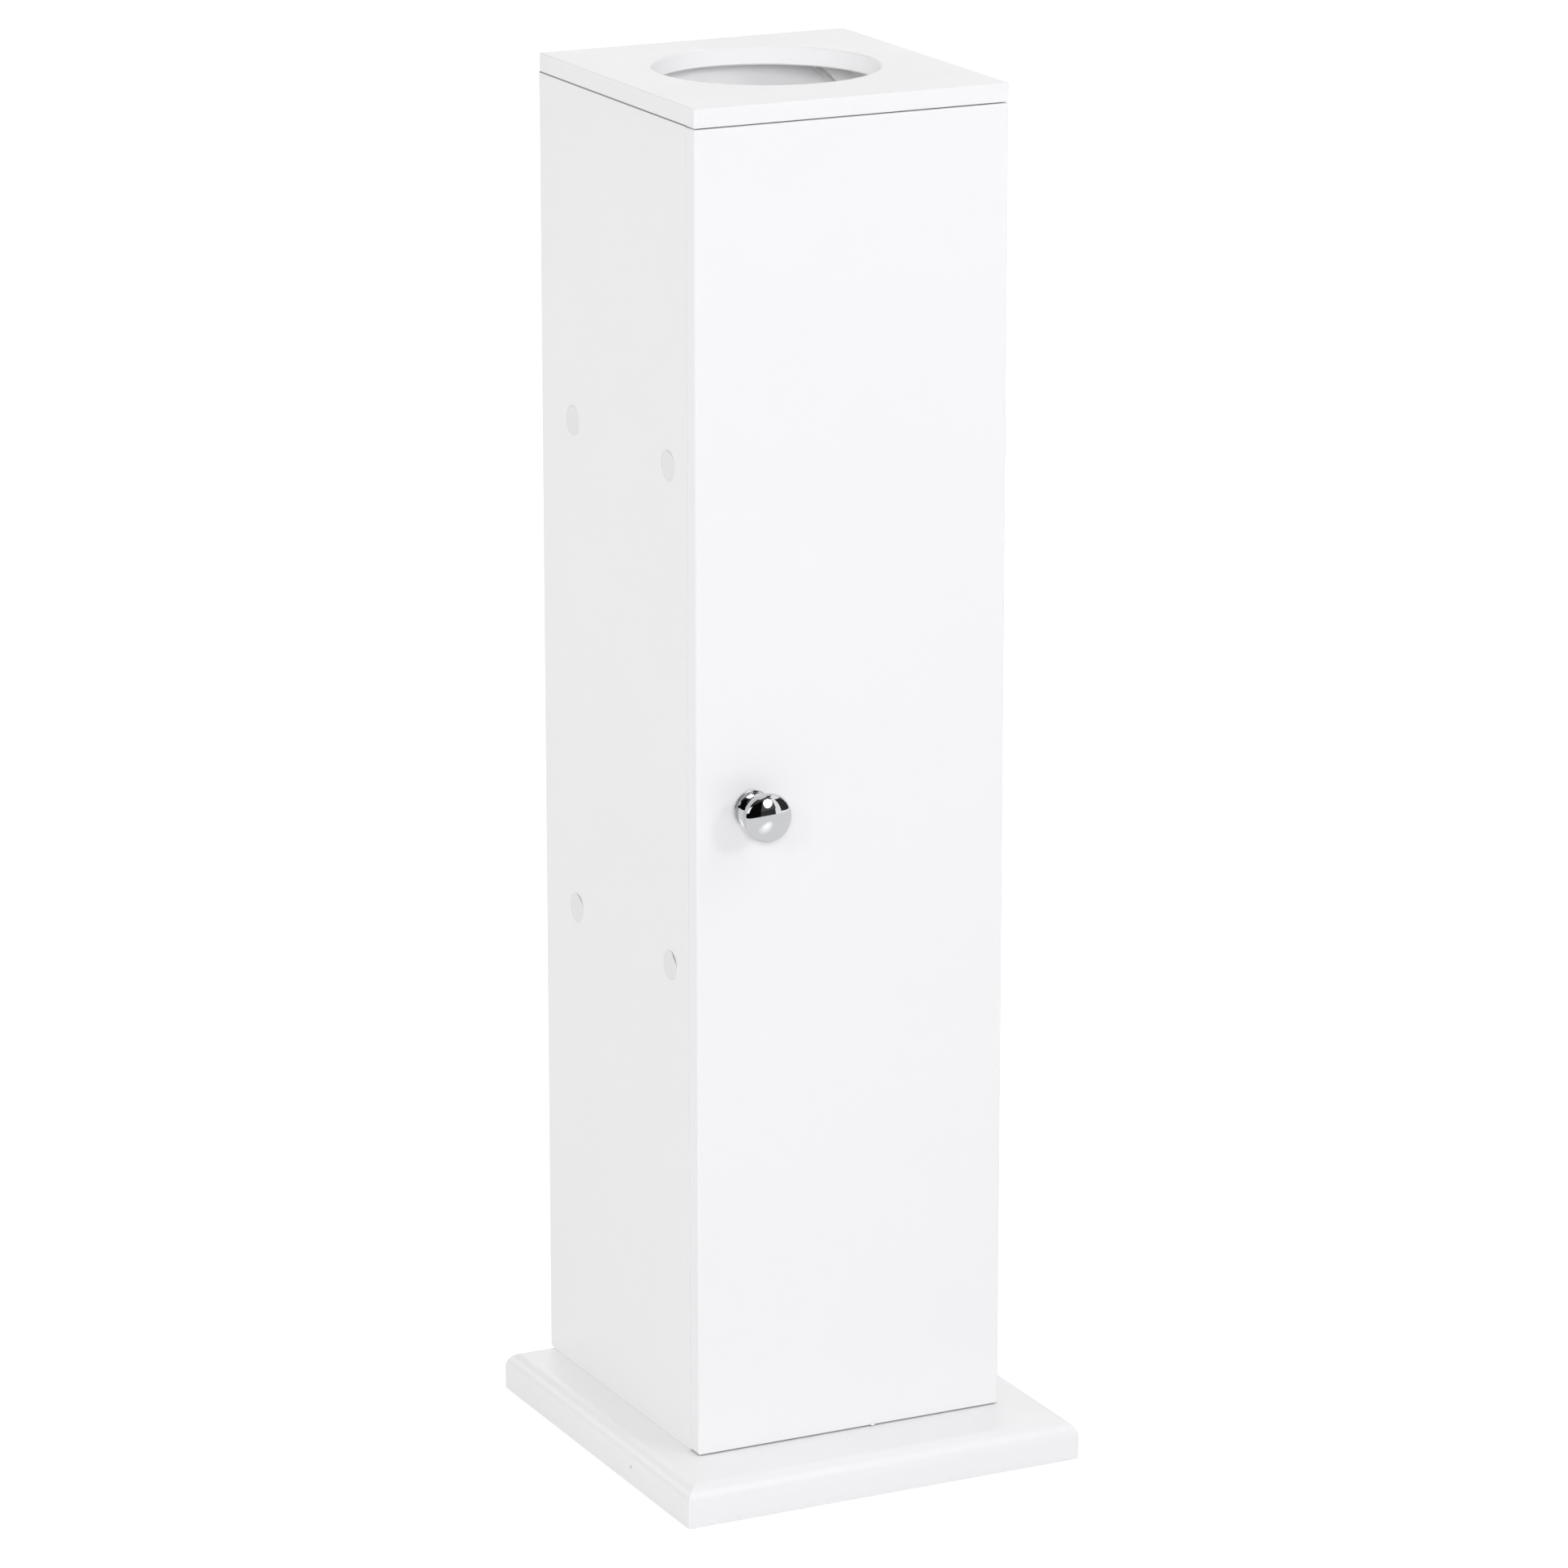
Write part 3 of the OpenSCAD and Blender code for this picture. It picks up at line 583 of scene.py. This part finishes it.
def ferrite_material():
    """Pressed and fired grains, dull and nearly black."""
    material, tree, shader, place = finish("ferrite", (0.02, 0.02, 0.022), roughness=0.6)
    grains = clouds(tree, place, 2500, detail=4, rough=0.7)
    amount = ramp(tree, grains, 0.35, 0.7)
    tone = blend(tree, amount, (0.014, 0.014, 0.016), (0.035, 0.035, 0.038))
    tree.links.new(tone, shader.inputs["Base Color"])
    tree.links.new(ramp(tree, grains, *NOISE_WIDE, 0.5, 0.7), shader.inputs["Roughness"])
    relief(tree, shader, grains, depth=0.05 * mm)
    return material


back_board = board_material()
moulded = plastic_material("moulded_plastic", (0.80, 0.80, 0.785), roughness=0.42,
                           grain_per_metre=2600, grain_depth=0.02 * mm)
cover_film = plastic_material("cover_film", (0.818, 0.808, 0.799), roughness=0.42,
                              grain_per_metre=700, grain_depth=0.02 * mm)
foam = foam_material()
ferrite = ferrite_material()

# %% [markdown]
# ## Chrome, nickel and zinc
# Chrome plate is a clean mirror that throws back a little over half of the light. What makes
# it real is what it lacks: no colour, no blur, only hairline wipe marks and a faint film of
# handling. Nickel on the hinges is rolled, so its fine lines run along the leaf. Zinc on the
# screws is duller and comes in small patches, as the plating bath leaves them.

# %% Metals
def chrome_material():
    """A clean mirror with a film of handling and hairline wipe marks across it."""
    material, tree, shader, place = finish("polished_chrome", (0.60, 0.605, 0.615),
                                           roughness=0.035, Metallic=1.0)
    film = ramp(tree, clouds(tree, place, 140, detail=3), 0.45, 0.75, 0.02, 0.07)
    tree.links.new(film, shader.inputs["Roughness"])
    wipe = add(tree, "Mapping", Vector=place, Scale=(1.0, 0.2, 14.0)).outputs[0]
    haze = clouds(tree, wipe, 500, detail=3)
    tone = blend(tree, haze, (0.59, 0.595, 0.605), (0.61, 0.615, 0.625))
    tree.links.new(tone, shader.inputs["Base Color"])
    relief(tree, shader, clouds(tree, wipe, 900), depth=0.0004 * mm)
    return material


def rolled_nickel_material():
    """Nickel whose fine rolling lines run along the leaf, which is upright."""
    material, tree, shader, place = finish("rolled_nickel", (0.60, 0.59, 0.565),
                                           roughness=0.28, Metallic=1.0)
    along = add(tree, "Mapping", Vector=place, Scale=(1.0, 1.0, 0.03)).outputs[0]
    lines = clouds(tree, along, 3800, detail=3)
    tree.links.new(ramp(tree, lines, *NOISE_WIDE, 0.2, 0.36), shader.inputs["Roughness"])
    tone = blend(tree, clouds(tree, place, 220, detail=3), (0.57, 0.56, 0.535), (0.64, 0.63, 0.605))
    tree.links.new(tone, shader.inputs["Base Color"])
    relief(tree, shader, lines, depth=0.006 * mm)
    return material


def zinc_material():
    """Zinc in small patches, each with its own tone and shine."""
    material, tree, shader, place = finish("bright_zinc", (0.55, 0.565, 0.58),
                                           roughness=0.34, Metallic=1.0)
    patches = add(tree, "TexVoronoi", Vector=place, Scale=900, Randomness=1.0)
    level = add(tree, "SeparateColor", Color=patches.outputs["Color"]).outputs[0]
    tone = blend(tree, level, (0.50, 0.515, 0.53), (0.60, 0.61, 0.62))
    tree.links.new(tone, shader.inputs["Base Color"])
    tree.links.new(ramp(tree, level, 0, 1, 0.28, 0.42), shader.inputs["Roughness"])
    relief(tree, shader, clouds(tree, place, 2600), depth=0.004 * mm)
    return material


chrome = chrome_material()
nickel = rolled_nickel_material()
zinc = zinc_material()

# %% [markdown]
# ## Dressing the frame
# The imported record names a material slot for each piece. One table from slot to finish
# dresses the whole cabinet, and a piece that is added to the frame later gets its finish
# without a new line here.

# %% Give each piece its finish
FINISHES = {
    "white_paint": lacquer,
    "white_back_board": back_board,
    "white_plastic": moulded,
    "cap_plastic": cover_film,
    "polished_chrome": chrome,
    "hinge_steel": nickel,
    "zinc_steel": zinc,
    "ferrite": ferrite,
    "grey_foam": foam,
}
slot_of = {part["node"]: part["material_slot"] for part in frame["record"]["subparts"]}
for name, piece in nodes.items():
    for slot in piece.material_slots:
        slot.material = FINISHES[slot_of[name]]
print("finishes used:", len(set(slot_of.values())))

# %% [markdown]
# ## The knob
# A chrome knob is turned on a lathe and then plated, so it is a body of revolution: a flat
# rose against the door, a hollow flare, a thin neck and a mushroom head with a shallow dome.
# A mirror shows every flat facet, so the knob is spun here from one smooth outline with many
# steps, in the place and to the size of the one in the frame.

# %% A lathe
ON_AXIS = 1e-7


def lathe(name, outline, turns):
    """Spins an outline of (radius, height) about Z into one closed smooth mesh."""
    mesh = bpy.data.meshes.new(name)
    form = bmesh.new()
    rings = []
    for radius, height in outline:
        if radius < ON_AXIS:
            rings.append([form.verts.new((0, 0, height))])
            continue
        angles = [2 * math.pi * i / turns for i in range(turns)]
        rings.append([form.verts.new((radius * math.cos(a), radius * math.sin(a), height))
                      for a in angles])
    for low, high in zip(rings, rings[1:]):
        for i in range(turns):
            j = (i + 1) % turns
            corners = [low[i % len(low)], low[j % len(low)],
                       high[j % len(high)], high[i % len(high)]]
            form.faces.new(list(dict.fromkeys(corners)))
    bmesh.ops.recalc_face_normals(form, faces=form.faces)
    for face in form.faces:
        face.smooth = True
    form.to_mesh(mesh)
    form.free()
    made = bpy.data.objects.new(name, mesh)
    bpy.context.scene.collection.objects.link(made)
    return made


# %% The knob's outline
ROSE_EDGE = 0.35 * mm
ROSE_THICK = 1.3 * mm
FLARE_HEIGHT = 6.2 * mm
NECK_RADIUS = 4.3 * mm
ROSE_RADIUS = 9.3 * mm
ROSE_STEP = 0.6 * mm
DOME_HEIGHT = 5.0 * mm
TAPER_DEPTH = 11.4 * mm
FLARE_STEPS = 24
TAPER_STEPS = 48
DOME_STEPS = 64
KNOB_TURNS = 160
OUT_OF_THE_DOOR = Matrix.Rotation(math.pi / 2, 4, "X")


def arc(centre, radius, start, end, steps):
    """Points on an arc, with angles in degrees from the radius direction towards the height."""
    angles = [math.radians(start + (end - start) * i / steps) for i in range(steps + 1)]
    return [(centre[0] + radius * math.cos(a), centre[1] + radius * math.sin(a)) for a in angles]


def knob_outline(head_radius, reach):
    """The knob from the door outwards: rose, flare with neck, and the head's two sides."""
    widest = reach - DOME_HEIGHT
    rose = [(0, 0)]
    rose += arc((ROSE_RADIUS - ROSE_EDGE, ROSE_EDGE), ROSE_EDGE, -90, 0, 6)
    rose += arc((ROSE_RADIUS - ROSE_EDGE, ROSE_THICK - ROSE_EDGE), ROSE_EDGE, 0, 90, 6)

    flare_width = ROSE_RADIUS - ROSE_STEP - NECK_RADIUS
    flare_rise = FLARE_HEIGHT - ROSE_THICK
    flare = []
    for i in range(FLARE_STEPS + 1):
        a = math.radians(90 * i / FLARE_STEPS)
        radius = NECK_RADIUS + flare_width * (1 - math.sin(a))
        flare.append((radius, ROSE_THICK + flare_rise * (1 - math.cos(a))))

    first = math.asin(NECK_RADIUS / head_radius)
    taper = []
    for i in range(TAPER_STEPS):
        a = first + (math.pi / 2 - first) * i / TAPER_STEPS
        taper.append((head_radius * math.sin(a), widest - TAPER_DEPTH * math.cos(a)))

    dome = []
    for i in range(DOME_STEPS + 1):
        a = math.radians(90 * i / DOME_STEPS)
        radius = head_radius * math.cos(a) if i < DOME_STEPS else 0.0
        dome.append((radius, widest + DOME_HEIGHT * math.sin(a)))
    return rose + flare + taper + dome


# %% Spin the knob
knob_low, knob_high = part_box("knob")
knob_middle = (knob_low + knob_high) / 2
knob_radius = (knob_high.x - knob_low.x) / 2
knob_reach = knob_high.y - knob_low.y
knob = lathe("chrome_knob", knob_outline(knob_radius, knob_reach), KNOB_TURNS)
knob_foot = Matrix.Translation((knob_middle.x, knob_high.y, knob_middle.z))
knob.data.transform(knob_foot @ OUT_OF_THE_DOOR)
knob.data.materials.append(chrome)
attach(knob, "door_leaf")
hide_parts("knob")
print("knob stands out", round(knob_reach / mm, 1), "mm, faces:", len(knob.data.polygons))

# %% [markdown]
# ## The covers over the screws
# Each shelf screw is hidden under a round of stuck-on film. A thin film isn't a neat disc: its
# rim melts into the board, the face has shallow wrinkles, and here and there an edge has come
# away and throws a fine dark line. Every cover is one closed skin of rings: the lower face
# stays on the board until the film lifts, and the upper face follows it at the film's
# thickness, which thins out towards the rim.
#
# A lift is written as three numbers: the angle it is at, in degrees from the front upwards,
# how far it stands off in mm, and how wide it is in degrees.

# %% A round of film
FILM_THICK = 0.16 * mm
FILM_WRINKLE = 0.05 * mm
FILM_SOFT_RIM = 0.2
FILM_RIM_THICK = 0.25
FILM_RINGS = 16
FILM_STEPS = 96
COVER_RADIUS = 7.5 * mm
LIFT_STARTS = 0.62
RIM_UNEVEN = 0.05
RIM_WAVES = 2.2
WRINKLES_PER_METRE = (420, 150)


def smooth_step(low, high, value):
    """0 up to low, 1 from high on, and a soft way between them."""
    t = min(1.0, max(0.0, (value - low) / (high - low)))
    return t * t * (3 - 2 * t)


def add_film(form, middle, outwards, lift_at, lift_by, lift_span):
    """One cover on a face across X. Lift_at is the angle from the front, upwards, in degrees."""
    # Where the cover is picks its own stretch of the noise, so no two covers are alike.
    rim_seed = middle.z * 60 + middle.y * 25
    face_seed = middle.y * 90 + middle.z * 37

    def point(share, angle, upper):
        """A point of one skin, at a share of the radius and an angle in degrees."""
        away = abs((angle - lift_at + 180) % 360 - 180) / lift_span
        lift = lift_by * math.exp(-away * away) * smooth_step(LIFT_STARTS, 1.0, share)
        a = math.radians(angle)
        wave = noise.noise(Vector((RIM_WAVES * math.cos(a), RIM_WAVES * math.sin(a), rim_seed)))
        uneven = 1 - RIM_UNEVEN * (1 + wave)
        spot = Vector((0, -math.cos(a), math.sin(a))) * COVER_RADIUS * share * uneven
        height = lift
        if upper:
            along, up = WRINKLES_PER_METRE
            wrinkle = noise.noise(Vector((spot.y * along, spot.z * up, face_seed)))
            rim = 1 - smooth_step(1 - FILM_SOFT_RIM, 1.0, share)
            height += FILM_THICK * (FILM_RIM_THICK + (1 - FILM_RIM_THICK) * rim)
            height += FILM_WRINKLE * (0.5 + 0.5 * wrinkle) * rim
        return middle + spot + Vector((outwards * height, 0, 0))

    rims = []
    angles = [360 * j / FILM_STEPS for j in range(FILM_STEPS)]
    for upper in (True, False):
        centre = form.verts.new(point(0, 0, upper))
        rings = [[form.verts.new(point(i / FILM_RINGS, angle, upper)) for angle in angles]
                 for i in range(1, FILM_RINGS + 1)]
        rims.append(rings[-1])
        for j in range(FILM_STEPS):
            k = (j + 1) % FILM_STEPS
            form.faces.new([centre, rings[0][j], rings[0][k]])
            for inner, outer in zip(rings, rings[1:]):
                form.faces.new([inner[j], outer[j], outer[k], inner[k]])
    top, bottom = rims
    for j in range(FILM_STEPS):
        k = (j + 1) % FILM_STEPS
        form.faces.new([top[j], bottom[j], bottom[k], top[k]])


def film_covers(name, node, outwards, lifts):
    """The four covers of one side, placed by the columns and rows the frame's covers stand in."""
    low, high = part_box(node)
    face_x = low.x if outwards > 0 else high.x
    form = bmesh.new()
    columns = (low.y + COVER_RADIUS, high.y - COVER_RADIUS)
    rows = (low.z + COVER_RADIUS, high.z - COVER_RADIUS)
    places = [(y, z) for y in columns for z in rows]
    for (y, z), (at, by, span) in zip(places, lifts):
        add_film(form, Vector((face_x, y, z)), outwards, at, by * mm, span)
    bmesh.ops.recalc_face_normals(form, faces=form.faces)
    for face in form.faces:
        face.smooth = True
    mesh = bpy.data.meshes.new(name)
    form.to_mesh(mesh)
    form.free()
    made = bpy.data.objects.new(name, mesh)
    bpy.context.scene.collection.objects.link(made)
    made.data.materials.append(cover_film)
    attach(made, "cabinet")
    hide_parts(node)
    return made


# %% Cover the screws
# The four lifts of a side: front low, front high, rear low, rear high.
LIFTS_LEFT = [(48, 0.58, 28), (74, 0.36, 26), (58, 0.46, 28), (95, 0.3, 26)]
LIFTS_RIGHT = [(70, 0.25, 30), (40, 0.3, 22), (120, 0.35, 26), (60, 0.2, 30)]
film_covers("film_covers_left", "screw_caps_left", -1, LIFTS_LEFT)
covers_right = film_covers("film_covers_right", "screw_caps_right", 1, LIFTS_RIGHT)
furthest = max(vertex.co.x for vertex in covers_right.data.vertices)
stands_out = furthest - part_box("screw_caps_right")[0].x
print("a cover stands out", round(stands_out / mm, 2), "mm at most")

# %% [markdown]
# ## One drop of paint
# Sprayed lacquer gathers at a lower edge. One drop has dried on the door's front lower edge,
# a little right of the middle: a bead three millimetres wide with a flat back.

# %% The drop under the door
DROP_ACROSS = 12 * mm
DROP_ABOVE_EDGE = 0.3 * mm
DROP_SUNK = 0.05 * mm
DROP_HALF_WIDTH = 1.5 * mm
DROP_HALF_HEIGHT = DROP_HALF_WIDTH / 1.95
DROP_DEPTH = 1.3 * mm
DROP_UNEVEN = 0.08
DROP_WAVES = 1.3
DROP_SEED = Vector((4, 1, 7))
DROP_TURNS = 40
door_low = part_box("door")[0]
drop_outline = [(0, 0)] + arc((0, 0), 1, 0, 81, 9) + [(0, 1)]
drop = lathe("paint_drop", drop_outline, DROP_TURNS)
for vertex in drop.data.vertices:
    x, y, z = vertex.co
    wave = 1 - DROP_UNEVEN * (1 + noise.noise(vertex.co * DROP_WAVES + DROP_SEED))
    vertex.co = Vector((x * DROP_HALF_WIDTH, y * DROP_HALF_HEIGHT, z * DROP_DEPTH)) * wave
drop_foot = Matrix.Translation((DROP_ACROSS, door_low.y + DROP_SUNK, door_low.z + DROP_ABOVE_EDGE))
drop.data.transform(drop_foot @ OUT_OF_THE_DOOR)
drop.data.materials.append(lacquer)
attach(drop, "door_leaf")
print("the drop has", len(drop.data.polygons), "faces")
